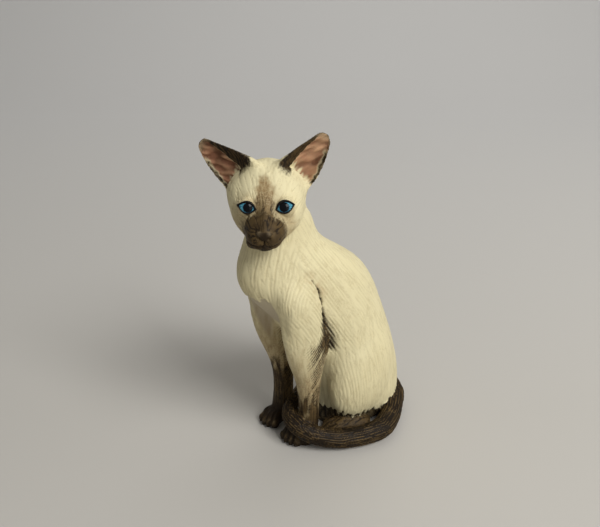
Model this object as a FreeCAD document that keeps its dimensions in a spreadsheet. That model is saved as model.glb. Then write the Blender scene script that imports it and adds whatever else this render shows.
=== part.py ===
"""Seated cat figurine, slip cast in ceramic: castings stuck together at spigots, tenons and pegs.

Row frame, millimetres: the cat sits on Z = 0 and faces -Y, its left side is +X, and the origin lies in the
torso's flat underside, on the cat's own middle plane. The head is turned to the cat's left.
"""

import FreeCAD, Part
import math
import os

from FreeCAD import Placement, Rotation, Vector

AXIS_X = Vector(1, 0, 0)
AXIS_Y = Vector(0, 1, 0)
AXIS_Z = Vector(0, 0, 1)
LEFT = 1
RIGHT = -1
SIDE_NAMES = {LEFT: "left", RIGHT: "right"}

# Single sizes in millimetres, and degrees for names that end in turn, tilt, lean, spread or nod.
SIZES = {
    # walls and the fit between pieces
    "wall": 3.2,
    "slip_gap": 0.08,
    "vent_radius": 3.0,
    "vent_set_back": 18.0,
    "floor_span": 400.0,
    # spigot under the head, in the neck
    "spigot_radius": 4.2,
    "spigot_bore_radius": 1.8,
    "spigot_behind": 3.0,
    "spigot_length": 18.0,
    # head: its own origin, and the neck oval that ends inside it
    "head_out": 0.6,
    "head_set_back": -24.0,
    "head_level": 96.0,
    "head_turn": 53.0,
    "head_tilt": 0.0,
    "throat_below": 2.0,
    "throat_behind": 2.3,
    "throat_half_width": 8.4,
    "throat_half_depth": 9.2,
    "head_hollow_behind": 4.6,
    "head_hollow_rise": 0.5,
    "head_hollow_half_length": 7.6,
    "head_hollow_half_width": 7.4,
    "head_hollow_half_height": 6.2,
    # eyes
    "eye_radius": 3.2,
    "eye_out": 5.6,
    "eye_ahead": 7.6,
    "eye_rise": 1.1,
    "eye_pole_tilt": 45.0,
    # ears
    "ear_out": 9.4,
    "ear_ahead": -1.6,
    "ear_rise": 8.2,
    "left_ear_lean": 34.0,
    "right_ear_lean": 50.0,
    "left_ear_spread": 14.0,
    "right_ear_spread": 19.0,
    "ear_tenon_radius": 0.9,
    "ear_tenon_start": 3.0,
    "ear_tenon_length": 5.6,
    # pegs between the limbs and the torso
    "peg_radius": 1.5,
    "foreleg_peg_level": 55.0,
    "foreleg_peg_root": 3.0,
    "foreleg_peg_length": 4.6,
    "foot_peg_set_back": 3.0,
    "foot_peg_length": 4.2,
    "tail_peg_root": 1.2,
    "tail_peg_length": 9.0,
    # paws: where each one's own origin lies, how far it turns inward, and its toes
    "left_forepaw_out": 5.0,
    "left_forepaw_set_back": -15.5,
    "left_forepaw_turn": -16.0,
    "right_forepaw_out": 8.2,
    "right_forepaw_set_back": -16.6,
    "right_forepaw_turn": 15.0,
    "forepaw_toe_ahead": 5.3,
    "hind_paw_out": 13.6,
    "hind_paw_set_back": 2.2,
    "hind_paw_turn": 26.0,
    "hind_paw_toe_ahead": 8.6,
    "toe_radius": 1.75,
    "toe_level": 1.7,
    "toe_pitch": 2.15,
    "toe_step_back": 0.9,
}

# Ovals that each skin passes through, in order. Levels are heights; front, back and set_back are along +Y.
TORSO_COLUMNS = ("level", "front", "back", "half_width")
TORSO = {
    "seat": (0.0, -4.0, 31.5, 13.5),
    "rump": (5.0, -4.6, 34.0, 16.5),
    "hip": (14.0, -5.0, 34.0, 17.5),
    "thigh": (26.0, -6.5, 31.5, 17.5),
    "loin": (38.0, -11.5, 28.0, 16.5),
    "belly": (50.0, -20.5, 23.5, 15.5),
    "rib": (60.0, -29.2, 19.0, 14.5),
    "chest": (68.0, -34.2, 12.6, 13.3),
    "shoulder": (75.0, -34.8, 3.4, 11.6),
    "withers": (82.0, -32.2, -4.8, 9.8),
}
FORELEG_COLUMNS = ("level", "out", "set_back", "half_width", "half_depth")
FORELEG = {
    "sole": (0.0, 8.3, -14.0, 3.9, 4.8),
    "wrist": (7.0, 8.3, -13.4, 3.8, 4.2),
    "cannon": (16.0, 8.2, -12.9, 3.7, 4.0),
    "forearm": (26.0, 8.3, -13.2, 4.1, 4.7),
    "low_elbow": (36.0, 8.7, -14.0, 5.2, 7.2),
    "elbow": (46.0, 9.2, -14.8, 5.7, 9.6),
    "upper_arm": (57.0, 10.2, -17.0, 5.8, 9.2),
    "arm_head": (66.0, 9.8, -19.6, 5.2, 8.0),
    "arm_top": (73.0, 7.4, -20.6, 3.2, 5.0),
}
HEAD_COLUMNS = ("ahead", "top", "bottom", "half_width")
HEAD = {
    "nose_tip": (17.6, -3.6, -6.8, 2.2),
    "nose": (16.8, -2.2, -8.4, 3.7),
    "lip": (15.0, -0.8, -9.6, 5.1),
    "muzzle": (11.6, 1.4, -10.4, 6.4),
    "cheek": (7.5, 5.4, -10.6, 9.1),
    "brow": (3.0, 9.6, -10.6, 11.4),
    "crown": (-3.0, 12.2, -10.4, 12.4),
    "poll": (-9.0, 11.8, -9.0, 11.6),
    "occiput": (-13.5, 8.8, -6.0, 8.8),
    "occiput_end": (-16.2, 5.0, -2.0, 4.6),
}
EAR_COLUMNS = ("along", "outward", "half_width", "cup", "thickness")
EAR = {
    "ear_root": (-4.0, -0.5, 6.4, 4.8, 2.6),
    "ear_base": (1.0, -0.4, 6.9, 4.6, 2.4),
    "ear_low": (5.5, 0.0, 5.8, 4.0, 2.1),
    "ear_middle": (9.1, 0.4, 4.7, 3.3, 1.9),
    "ear_high": (12.2, 0.6, 3.5, 2.4, 1.7),
    "ear_tip": (14.5, 0.5, 2.5, 1.4, 1.4),
    "ear_end": (15.8, 0.4, 1.3, 0.5, 0.9),
}
TAIL_COLUMNS = ("out", "set_back", "level", "radius")
TAIL = {
    "tail_root": (0.0, 28.6, 6.2, 4.4),
    "tail_bend": (7.7, 29.8, 4.8, 4.4),
    "tail_corner": (14.6, 24.8, 4.2, 4.3),
    "tail_rear": (20.2, 17.8, 4.0, 4.1),
    "tail_flank": (23.7, 10.0, 3.9, 4.0),
    "tail_side": (22.2, 1.2, 3.9, 3.9),
    "tail_fore": (19.0, -6.8, 4.3, 3.8),
    "tail_turn": (14.6, -13.8, 6.0, 3.7),
    "tail_paw": (10.2, -18.0, 8.6, 3.6),
    "tail_front": (5.4, -18.9, 10.4, 3.3),
    "tail_inner": (1.5, -16.5, 11.8, 2.9),
    "tail_curl": (-0.6, -13.0, 12.8, 2.4),
    "tail_tip": (-1.2, -10.0, 13.4, 1.7),
    "tail_end": (-1.2, -8.6, 13.6, 0.9),
}
# Ellipsoids: centre out from the middle plane, set back and level; radii across, along and up; tilt about X.
MASS_COLUMNS = ("out", "set_back", "level", "across", "along", "up", "tilt")
MASSES = {
    "haunch": (10.6, 10.0, 23.0, 8.8, 14.6, 21.6, -5.0),
}
# Ovals across a paw, from its heel to just behind its toes.
PAW_COLUMNS = ("ahead", "level", "half_width", "half_height")
FOREPAW = {
    "forepaw_heel": (-3.0, 2.8, 1.5, 1.6),
    "forepaw_wrist": (-1.4, 2.8, 2.8, 2.6),
    "forepaw_back": (1.0, 2.8, 4.3, 3.8),
    "forepaw_front": (3.2, 2.8, 4.3, 3.5),
    "forepaw_knuckle": (5.0, 2.5, 3.2, 2.5),
    "forepaw_end": (5.9, 2.3, 1.4, 1.3),
}
HIND_PAW = {
    "hind_paw_heel": (-8.8, 2.8, 1.6, 1.6),
    "hind_paw_hock": (-6.6, 2.8, 3.0, 2.9),
    "hind_paw_back": (-2.0, 2.9, 4.0, 3.7),
    "hind_paw_front": (4.2, 2.7, 4.2, 3.5),
    "hind_paw_knuckle": (8.2, 2.4, 3.2, 2.4),
    "hind_paw_end": (9.2, 2.2, 1.4, 1.2),
}
PAWS = {"forepaw": FOREPAW, "hind_paw": HIND_PAW}
TABLES = (
    (TORSO, TORSO_COLUMNS),
    (FORELEG, FORELEG_COLUMNS),
    (HEAD, HEAD_COLUMNS),
    (EAR, EAR_COLUMNS),
    (TAIL, TAIL_COLUMNS),
    (MASSES, MASS_COLUMNS),
    (FOREPAW, PAW_COLUMNS),
    (HIND_PAW, PAW_COLUMNS),
)


def fill_sheet(document):
    """Writes every size to the spreadsheet as a plain number with its alias."""
    made = document.addObject("Spreadsheet::Sheet", "Sizes")
    cells = dict(SIZES)
    for stations, columns in TABLES:
        for station, values in stations.items():
            cells.update({f"{station}_{column}": value for column, value in zip(columns, values)})
    for row, (alias, value) in enumerate(cells.items(), start=1):
        made.set(f"A{row}", alias)
        made.set(f"B{row}", str(value))
        made.setAlias(f"B{row}", alias)
    document.recompute()
    return made


doc = FreeCAD.newDocument("cat_figurine")
sheet = fill_sheet(doc)


def size(alias):
    return float(getattr(sheet, alias))


def sizes(station, columns):
    """The sheet's values for one station, in the order of the table's columns."""
    return [size(f"{station}_{column}") for column in columns]


# ---------------------------------------------------------------- building blocks


def add(kind, name, place=None, **expressions):
    """Adds an object and binds its properties to expressions; a double underscore stands for a dot."""
    made = doc.addObject(kind, name)
    if place is not None:
        made.Placement = place
    for property_name, expression in expressions.items():
        made.setExpression(property_name.replace("__", "."), expression)
    return made


def feature(name, shape):
    """A document object that holds a skin made with Part's own functions."""
    made = doc.addObject("Part::Feature", name)
    made.Shape = shape
    return made


def fuse(name, things):
    made = doc.addObject("Part::MultiFuse", name)
    made.Shapes = things
    return made


def cut(name, base, tools):
    """The base less each tool in turn; the tools stay whole for the pieces that they belong to."""
    for left, tool in zip(range(len(tools) - 1, -1, -1), tools):
        made = doc.addObject("Part::Cut", f"{name}_before_{left}" if left else name)
        made.Base = base
        made.Tool = tool
        base = made
    return base


def loop_through(points):
    """A smooth closed wire; equal steps of its parameter keep a loft through many such wires light."""
    curve = Part.BSplineCurve()
    curve.interpolate(Points=points, PeriodicFlag=True, Parameters=list(range(len(points) + 1)))
    return Part.Wire(curve.toShape())


def oval(centre, across, toward):
    """A closed wire about a centre, begun at the end of across; across and toward are its half axes."""
    turns = [math.radians(45 * step) for step in range(8)]
    return loop_through([centre + across * math.cos(turn) + toward * math.sin(turn) for turn in turns])


def loft(wires):
    return Part.makeLoft(wires, True, False, False)


def ellipsoid(name, place, **expressions):
    made = add("Part::Ellipsoid", name, place, **expressions)
    made.Angle1, made.Angle2, made.Angle3 = -90, 90, 360
    return made


def cylinder(name, place, radius, height):
    """A cylinder along the place's own Z, with its radius and height given as expressions."""
    return add("Part::Cylinder", name, place, Radius=radius, Height=height)


# ---------------------------------------------------------------- forms, before they are cut to fit


def torso_skin(name, inset, throat):
    """The torso's ovals drawn in by the inset: none for the outer skin, the wall for the hollow."""
    wires = []
    for station in TORSO:
        level, front, back, half_width = sizes(station, TORSO_COLUMNS)
        centre = Vector(0, (front + back) / 2, max(level, inset))
        wires.append(oval(centre, AXIS_X * (half_width - inset), AXIS_Y * ((back - front) / 2 - inset)))
    if throat:
        centre = Vector(
            size("head_out"),
            size("head_set_back") + size("throat_behind"),
            size("head_level") - size("throat_below"),
        )
        wires.append(oval(centre, AXIS_X * size("throat_half_width"), AXIS_Y * size("throat_half_depth")))
    return feature(name, loft(wires))


def mass(prefix, side):
    """An ellipsoid of muscle on the torso, on the side given by its sign."""
    return ellipsoid(
        f"{SIDE_NAMES[side]}_{prefix}",
        Placement(Vector(), Rotation(AXIS_X, 1)),
        Radius1=f"Sizes.{prefix}_up",
        Radius2=f"Sizes.{prefix}_across",
        Radius3=f"Sizes.{prefix}_along",
        Placement__Base__x=f"{side} * Sizes.{prefix}_out",
        Placement__Base__y=f"Sizes.{prefix}_set_back",
        Placement__Base__z=f"Sizes.{prefix}_level",
        Placement__Rotation__Angle=f"Sizes.{prefix}_tilt",
    )


def torso_skin_with_haunches():
    masses = [mass(prefix, side) for side in SIDE_NAMES for prefix in MASSES]
    return fuse("torso_with_haunches", [torso_skin("torso_skin", 0, True), *masses])


def paw_form(prefix, place, side):
    """A paw with four toes, made about its own origin; the outer two toes stand a little further back."""
    name = f"{SIDE_NAMES[side]}_{prefix}"
    wires = []
    for station in PAWS[prefix]:
        ahead, level, half_width, half_height = sizes(station, PAW_COLUMNS)
        wires.append(oval(Vector(0, -ahead, level), AXIS_X * half_width, AXIS_Z * half_height))
    toes = []
    for number, offset in enumerate((-1.5, -0.5, 0.5, 1.5), start=1):
        toes.append(add(
            "Part::Sphere",
            f"{name}_toe_{number}",
            Placement(Vector(), Rotation(AXIS_Z, 90)),
            Radius="Sizes.toe_radius",
            Placement__Base__x=f"{offset} * Sizes.toe_pitch",
            Placement__Base__y=f"({abs(offset)} - 0.5) * Sizes.toe_step_back - Sizes.{prefix}_toe_ahead",
            Placement__Base__z="Sizes.toe_level",
        ))
    made = fuse(name + "_paw", [feature(name + "_pad", loft(wires)), *toes])
    made.Placement = Placement(Vector(), Rotation(AXIS_Z, 1))
    made.setExpression("Placement.Base.x", f"{side} * Sizes.{place}_out")
    made.setExpression("Placement.Base.y", f"Sizes.{place}_set_back")
    made.setExpression("Placement.Rotation.Angle", f"{-side} * Sizes.{place}_turn")
    return made


def hind_foot_form(side, floor):
    return cut(f"{SIDE_NAMES[side]}_hind_foot_form", paw_form("hind_paw", "hind_paw", side), [floor])


def foreleg_form(side, floor):
    wires = []
    for station in FORELEG:
        level, out, set_back, half_width, half_depth = sizes(station, FORELEG_COLUMNS)
        inward = -side
        centre = Vector(side * out, set_back, level)
        wires.append(oval(centre, AXIS_X * (inward * half_width), AXIS_Y * (inward * half_depth)))
    name = f"{SIDE_NAMES[side]}_foreleg"
    paw = paw_form("forepaw", f"{SIDE_NAMES[side]}_forepaw", side)
    leg = fuse(name + "_with_paw", [feature(name + "_skin", loft(wires)), paw])
    return cut(name + "_form", leg, [floor])


def tail_form():
    """Circles square to the line of the tail, from its root round the left side to its tip."""
    places = [sizes(station, TAIL_COLUMNS) for station in TAIL]
    centres = [Vector(*place[:3]) for place in places]
    line = Part.BSplineCurve()
    line.interpolate(centres)
    wires = []
    for centre, place in zip(centres, places):
        along = line.tangent(line.parameter(centre))[0]
        outward = AXIS_Z.cross(along).normalize()
        radius = place[3]
        wires.append(oval(centre, outward * radius, along.cross(outward).normalize() * radius))
    return feature("tail_form", loft(wires))


def head_place():
    """The head's own frame: +X to its left, -Y ahead and +Z up, turned left and tilted up."""
    turn = Rotation(AXIS_Z, size("head_turn"))
    tilt = Rotation(AXIS_X, -size("head_tilt"))
    return Placement(
        Vector(size("head_out"), size("head_set_back"), size("head_level")),
        turn.multiply(tilt),
    )


def head_form():
    wires = []
    for station in HEAD:
        ahead, top, bottom, half_width = sizes(station, HEAD_COLUMNS)
        centre = Vector(0, -ahead, (top + bottom) / 2)
        wires.append(oval(centre, AXIS_X * half_width, AXIS_Z * ((top - bottom) / 2)))
    made = feature("head_form", loft(wires))
    made.Placement = head_place()
    return made


def ear_place(side):
    """An ear's own frame: +Z from root to tip, -Y out of its open side."""
    spread = Rotation(AXIS_Z, side * size(f"{SIDE_NAMES[side]}_ear_spread"))
    lean = Rotation(AXIS_Y, side * size(f"{SIDE_NAMES[side]}_ear_lean"))
    base = Vector(side * size("ear_out"), -size("ear_ahead"), size("ear_rise"))
    return head_place().multiply(Placement(base, spread.multiply(lean)))


def crescent(side, along, outward, half_width, cup, thickness):
    """A closed wire across an ear: an arc behind, then a smaller one before it, with a rounded rim between."""
    middle = Vector(side * outward, 0, along)
    points = []
    for turn in (-90, -60, -30, 0, 30, 60, 90):
        angle = math.radians(turn)
        points.append(middle + Vector(half_width * math.sin(angle), cup * math.cos(angle), 0))
    for turn in (60, 30, 0, -30, -60):
        angle = math.radians(turn)
        inner_width = half_width - thickness / 2
        inner_cup = cup - thickness
        points.append(middle + Vector(inner_width * math.sin(angle), inner_cup * math.cos(angle), 0))
    return loop_through(points)


def ear_form(side):
    wires = [crescent(side, *sizes(station, EAR_COLUMNS)) for station in EAR]
    made = feature(f"{SIDE_NAMES[side]}_ear_form", loft(wires))
    made.Placement = ear_place(side)
    return made


def under_floor():
    """Everything below the surface that the cat sits on, for cutting the soles flat."""
    return add(
        "Part::Box",
        "under_floor",
        Placement(),
        Length="Sizes.floor_span",
        Width="Sizes.floor_span",
        Height="Sizes.floor_span",
        Placement__Base__x="-Sizes.floor_span / 2",
        Placement__Base__y="-Sizes.floor_span / 2",
        Placement__Base__z="-Sizes.floor_span",
    )


# ---------------------------------------------------------------- pegs, each with its own hole


def peg_and_hole(name, place, radius, length):
    """A cylinder and the wider, longer one that clears it by the slip gap."""
    peg = cylinder(name, place, radius, length)
    hole = cylinder(name + "_hole", place, f"{radius} + Sizes.slip_gap", f"{length} + Sizes.slip_gap")
    return peg, hole


def foreleg_peg(side):
    """From inside the upper arm, inward through the torso's wall."""
    out = size("upper_arm_out") + size("foreleg_peg_root")
    base = Vector(side * out, size("upper_arm_set_back"), size("foreleg_peg_level"))
    place = Placement(base, Rotation(AXIS_Z, -side * AXIS_X))
    name = f"{SIDE_NAMES[side]}_foreleg_peg"
    return peg_and_hole(name, place, "Sizes.peg_radius", "Sizes.foreleg_peg_length")


def foot_peg(side):
    base = Vector(side * size("hind_paw_out"), size("foot_peg_set_back"), size("hind_paw_back_level"))
    place = Placement(base, Rotation(AXIS_Z, -side * AXIS_X))
    return peg_and_hole(f"{SIDE_NAMES[side]}_foot_peg", place, "Sizes.peg_radius", "Sizes.foot_peg_length")


def tail_peg():
    """From the bend at the tail's root, forward into the rump."""
    set_back = size("tail_bend_set_back") + size("tail_peg_root")
    base = Vector(size("tail_bend_out"), set_back, size("tail_bend_level"))
    place = Placement(base, Rotation(AXIS_Z, -AXIS_Y))
    return peg_and_hole("tail_peg", place, "Sizes.peg_radius", "Sizes.tail_peg_length")


def ear_tenon(side):
    """From inside the back of the ear, down past its root into the head."""
    middle = size("ear_base_cup") - size("ear_base_thickness") / 2
    start = Placement(Vector(0, middle, size("ear_tenon_start")), Rotation(AXIS_Z, -AXIS_Z))
    name = f"{SIDE_NAMES[side]}_ear_tenon"
    place = ear_place(side).multiply(start)
    return peg_and_hole(name, place, "Sizes.ear_tenon_radius", "Sizes.ear_tenon_length")


def neck_spigot():
    base = Vector(size("head_out"), size("head_set_back") + size("spigot_behind"), size("head_level"))
    place = Placement(base, Rotation(AXIS_Z, -AXIS_Z))
    peg, hole = peg_and_hole("neck_spigot_rod", place, "Sizes.spigot_radius", "Sizes.spigot_length")
    through = "Sizes.spigot_length + Sizes.slip_gap"
    bore = cylinder("neck_spigot_bore", place, "Sizes.spigot_bore_radius", through)
    return peg, hole, bore


# ---------------------------------------------------------------- the pieces


def eye_bead(side):
    """A round bead set in the face, its poles clear of the skin; its socket is a sphere wider by the gap."""
    base = Vector(side * size("eye_out"), -size("eye_ahead"), size("eye_rise"))
    place = head_place().multiply(Placement(base, Rotation(AXIS_X, size("eye_pole_tilt"))))
    name = f"{SIDE_NAMES[side]}_eye"
    bead = add("Part::Sphere", name, place, Radius="Sizes.eye_radius")
    socket = add("Part::Sphere", name + "_socket", place, Radius="Sizes.eye_radius + Sizes.slip_gap")
    return bead, socket


def torso_casting(form, head, holes):
    """The body: hollow, with a seat that the head's underside fills, a vent and a hole for each peg."""
    hollow = torso_skin("torso_hollow", size("wall"), False)
    vent = cylinder("vent", Placement(), "Sizes.vent_radius", "2 * Sizes.wall")
    vent.setExpression("Placement.Base.y", "Sizes.vent_set_back")
    return cut("torso_casting", form, [head, hollow, vent, *holes])


def head_casting(form, spigot, bore, holes):
    """The head: hollow, with a bored spigot under it, two eye sockets and two holes for the ears."""
    centre = Vector(0, size("head_hollow_behind"), size("head_hollow_rise"))
    hollow = ellipsoid(
        "head_hollow",
        head_place().multiply(Placement(centre, Rotation())),
        Radius1="Sizes.head_hollow_half_height",
        Radius2="Sizes.head_hollow_half_width",
        Radius3="Sizes.head_hollow_half_length",
    )
    return cut("head_casting", fuse("head_on_spigot", [form, spigot]), [hollow, bore, *holes])


def ear(side, head, tenon):
    name = f"{SIDE_NAMES[side]}_ear"
    return fuse(name, [cut(name + "_blade", ear_form(side), [head]), tenon])


def foreleg(side, form, torso, peg):
    name = f"{SIDE_NAMES[side]}_foreleg"
    return fuse(name, [cut(name + "_limb", form, [torso]), peg])


def hind_foot(side, form, torso, foreleg, peg):
    name = f"{SIDE_NAMES[side]}_hind_foot"
    return fuse(name, [cut(name + "_sole", form, [torso, foreleg]), peg])


def build():
    """Makes the outer forms first, then cuts each piece to fit the neighbours that it is stuck to."""
    floor = under_floor()
    head = head_form()
    torso = cut("torso_form", torso_skin_with_haunches(), [floor])
    spigot, neck_hole, spigot_bore = neck_spigot()
    torso_holes = [neck_hole]
    head_holes = []
    pieces = []
    tail_neighbours = [torso]
    for side in SIDE_NAMES:
        bead, socket = eye_bead(side)
        tenon, tenon_hole = ear_tenon(side)
        head_holes += [socket, tenon_hole]
        leg_form = foreleg_form(side, floor)
        leg_peg, leg_hole = foreleg_peg(side)
        foot_form = hind_foot_form(side, floor)
        toe_peg, foot_hole = foot_peg(side)
        torso_holes += [leg_hole, foot_hole]
        tail_neighbours += [leg_form, foot_form]
        pieces += [
            bead,
            ear(side, head, tenon),
            foreleg(side, leg_form, torso, leg_peg),
            hind_foot(side, foot_form, torso, leg_form, toe_peg),
        ]
    rump_peg, rump_hole = tail_peg()
    pieces.append(fuse("tail", [cut("tail_brush", tail_form(), [*tail_neighbours, floor]), rump_peg]))
    pieces.append(torso_casting(torso, head, [*torso_holes, rump_hole]))
    pieces.append(head_casting(head, spigot, spigot_bore, head_holes))
    return pieces


def check(pieces):
    """Stops before anything is written if an object failed or a piece isn't one sound solid."""
    for thing in doc.Objects:
        if "Invalid" in thing.State or "Error" in thing.State:
            raise RuntimeError(f"{thing.Name} did not recompute")
    for piece in pieces:
        if piece.Shape.isNull() or not piece.Shape.isValid():
            raise RuntimeError(f"{piece.Name} has no valid shape")
        if len(piece.Shape.Solids) != 1:
            raise RuntimeError(f"{piece.Name} has {len(piece.Shape.Solids)} solids, not one")


pieces = build()
doc.recompute()
check(pieces)
os.makedirs("parts", exist_ok=True)
for piece in pieces:
    piece.Label = piece.Name
    piece.Shape.exportStep(f"parts/{piece.Label}.step")
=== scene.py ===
"""Looks of a seated ceramic cat: one carved and painted skin over the castings, parted again into its pieces.

The castings are joined into one even mesh, smoothed where the clay was sponged, carved with eyelids, nose,
mouth, ears, paws and fur, and given masks that the paint reads. Then it is cut back into one closed piece for
each casting. The work is done in millimetres in the frame's own axes: the cat faces -Y.
"""
import itertools
import math

import bmesh
import bpy
import numpy as np
from mathutils import Matrix, Vector
from mathutils.bvhtree import BVHTree
from mathutils.kdtree import KDTree


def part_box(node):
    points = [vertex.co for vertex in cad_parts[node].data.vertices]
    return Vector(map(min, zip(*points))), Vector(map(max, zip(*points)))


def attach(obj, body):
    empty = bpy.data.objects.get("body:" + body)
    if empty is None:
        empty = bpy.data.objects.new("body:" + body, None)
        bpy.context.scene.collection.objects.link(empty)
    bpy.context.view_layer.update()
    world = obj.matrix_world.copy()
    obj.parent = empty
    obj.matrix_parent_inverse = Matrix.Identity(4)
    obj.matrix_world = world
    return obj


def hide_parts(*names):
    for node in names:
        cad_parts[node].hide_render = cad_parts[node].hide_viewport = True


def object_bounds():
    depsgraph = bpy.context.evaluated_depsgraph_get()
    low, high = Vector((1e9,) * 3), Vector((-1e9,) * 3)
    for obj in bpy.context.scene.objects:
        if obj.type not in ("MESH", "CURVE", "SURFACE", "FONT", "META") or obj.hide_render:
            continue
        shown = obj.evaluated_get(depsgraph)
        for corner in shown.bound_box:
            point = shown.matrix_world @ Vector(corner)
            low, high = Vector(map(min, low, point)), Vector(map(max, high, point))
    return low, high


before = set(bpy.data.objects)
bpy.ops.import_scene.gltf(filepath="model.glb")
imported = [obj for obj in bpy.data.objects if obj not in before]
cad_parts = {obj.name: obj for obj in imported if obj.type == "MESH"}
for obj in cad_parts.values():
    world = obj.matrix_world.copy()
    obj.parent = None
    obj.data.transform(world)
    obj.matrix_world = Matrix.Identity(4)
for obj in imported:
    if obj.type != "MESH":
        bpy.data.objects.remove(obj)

CAD_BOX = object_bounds()
MM = 1000.0
EYES = ("left_eye", "right_eye")
SLOTS = {
    "torso_casting": "body", "head_casting": "head", "left_ear": "ear", "right_ear": "ear",
    "left_foreleg": "leg", "right_foreleg": "leg", "left_hind_foot": "paw", "right_hind_foot": "paw",
    "tail": "tail", "left_eye": "eye", "right_eye": "eye",
}
SKINS = tuple(name for name in SLOTS if name not in EYES)
FORELEGS = ("left_foreleg", "right_foreleg")
HIND_FEET = ("left_hind_foot", "right_hind_foot")
UP = np.array([0.0, 0.0, 1.0])
GRAIN = 0.385         # size of the skin's mesh
VENT_BACK = 18.0      # the vent's place behind the origin, its radius and its depth
VENT_RADIUS = 3.0
VENT_DEPTH = 3.0
EYE_AHEAD = 7.6       # the eyes' centres from the middle of the head
EYE_RISE = 1.1
CAMERA_AIM = (-0.0269, 0.0086, 0.0539)      # in metres, as the distance is; its turn and rise in degrees
CAMERA_TURN = 54.0
CAMERA_RISE = 26.5
CAMERA_DISTANCE = 0.255
CAMERA_LENS = 38.0


# ---------------- numbers and noise


def within(values):
    return np.clip(values, 0.0, 1.0)


def size_of(vectors):
    return np.linalg.norm(vectors, axis=1)


def unit(vectors):
    return vectors / np.maximum(np.linalg.norm(vectors, axis=-1, keepdims=True), 1e-9)


def step(low, high, values):
    """0 below low, 1 above high and smooth between; low may be the larger one."""
    part = within((values - low) / (high - low))
    return part * part * (3.0 - 2.0 * part)


def bell(values, width):
    return np.exp(-((values / width) ** 2))


def ball(points, centre, reach):
    """1 at a centre, fading to 0 within about twice the reach."""
    return bell(size_of(points - centre), reach)


def noise(points, seed):
    """Smooth noise between -1 and 1 with lumps about one unit across."""
    cell = np.floor(points).astype(np.int64)
    part = points - cell
    part = part * part * (3.0 - 2.0 * part)
    total = np.zeros(len(points))
    for corner in itertools.product((0, 1), repeat=3):
        place = cell + np.array(corner)
        key = place[:, 0] * 73856093 ^ place[:, 1] * 19349663 ^ place[:, 2] * 83492791 ^ seed * 2654435761
        key = (key ^ (key >> 13)) * 1274126177
        value = ((key ^ (key >> 16)) & 0xFFFFF) / 524287.5 - 1.0
        share = np.where(corner, part, 1.0 - part).prod(axis=1)
        total += share * value
    return total


def layered_noise(points, size, seed):
    """Two octaves of noise, the larger one with lumps of the given size."""
    return noise(points / size, seed) * 0.67 + noise(points / size * 2.3, seed + 1) * 0.33


def streaks(points, along, width, reach, seed):
    """Noise smeared along the given directions, with a spread of about one: it makes carved hair."""
    total = np.zeros(len(points))
    for offset in np.linspace(-1.0, 1.0, 13):
        share = 1.0 - abs(offset) * 0.7
        total += share * noise((points + along * (offset * reach)) / width, seed)
    return total / total.std()


def cuts(points, along, width, reach, seed):
    """Long thin tool strokes along the given directions: 1 at their middle and 0 between them."""
    return within(1.0 - np.abs(streaks(points, along, width, reach, seed)) / 0.5)


def ruled(points, across, spacing, seed):
    """Lines at a steady spacing, square to across, that waver and break off as if cut by hand."""
    waver = 0.22 * layered_noise(points, 7.0, seed) + 0.08 * noise(points / 2.0, seed + 3)
    row = across / spacing + waver
    line = within(1.0 - np.abs(row - np.round(row)) / 0.34)
    number = np.stack([np.round(row) * 7.3, points[:, 2] / 7.0, points[:, 1] / 7.0], axis=1)
    return line * step(-0.55, 0.1, noise(number, seed + 4))


# ---------------- the head's own frame


def box_centre(name):
    low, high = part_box(name)
    return np.array((low + high) / 2) * MM


def box_half(name):
    low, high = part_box(name)
    return np.array((high - low) / 2) * MM


EYE_CENTRES = {name: box_centre(name) for name in EYES}
EYE_RADIUS = box_half("left_eye")[2]
LEFTWARD = unit(EYE_CENTRES["left_eye"] - EYE_CENTRES["right_eye"])
AHEAD = np.cross(UP, -LEFTWARD)
HEAD = sum(EYE_CENTRES.values()) / 2 - AHEAD * EYE_AHEAD - UP * EYE_RISE


def in_head(points):
    """Places in the head's frame: to its left, ahead and up, from the middle of the head."""
    offset = points - HEAD
    return offset @ LEFTWARD, offset @ AHEAD, offset @ UP


def head_direction(turn, rise):
    """A unit vector from its turn to the head's left and its rise, in degrees."""
    turn, rise = math.radians(turn), math.radians(rise)
    level = LEFTWARD * math.sin(turn) + AHEAD * math.cos(turn)
    return level * math.cos(rise) + UP * math.sin(rise)


# ---------------- the blank skin


def new_object(name, data):
    made = bpy.data.objects.new(name, data)
    bpy.context.scene.collection.objects.link(made)
    return made


def joined_castings():
    """All the castings in one mesh, in millimetres, with a plug in the vent so that the hollow is closed."""
    joined = bmesh.new()
    for name in SKINS + EYES:
        joined.from_mesh(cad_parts[name].data)
    bmesh.ops.transform(joined, matrix=Matrix.Scale(MM, 4), verts=joined.verts)
    plug = Matrix.Translation((0, VENT_BACK, VENT_DEPTH / 2))
    bmesh.ops.create_cone(
        joined, cap_ends=True, segments=32, radius1=VENT_RADIUS * 1.1, radius2=VENT_RADIUS * 1.1,
        depth=VENT_DEPTH, matrix=plug,
    )
    mesh = bpy.data.meshes.new("joined")
    joined.to_mesh(mesh)
    joined.free()
    return mesh


def even_mesh(mesh, size):
    """A copy with evenly spaced quads, made from the outer surface of everything in it."""
    holder = new_object("blank", mesh)
    remesh = holder.modifiers.new("even", "REMESH")
    remesh.mode = "VOXEL"
    remesh.voxel_size = size
    graph = bpy.context.evaluated_depsgraph_get()
    made = bpy.data.meshes.new_from_object(holder.evaluated_get(graph))
    bpy.data.objects.remove(holder)
    return made


def refine_face(shape):
    """Halves the mesh's size round the eyes, nose and mouth."""
    points = np.array([vertex.co for vertex in shape.verts])
    aside, ahead, rise = in_head(points)
    wanted = (ahead > 3.0) & (np.abs(aside) < 11.0) & (rise > -11.5) & (rise < 6.0)
    edges = [edge for edge in shape.edges if wanted[edge.verts[0].index] and wanted[edge.verts[1].index]]
    bmesh.ops.subdivide_edges(shape, edges=edges, cuts=1, use_grid_fill=True)


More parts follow.
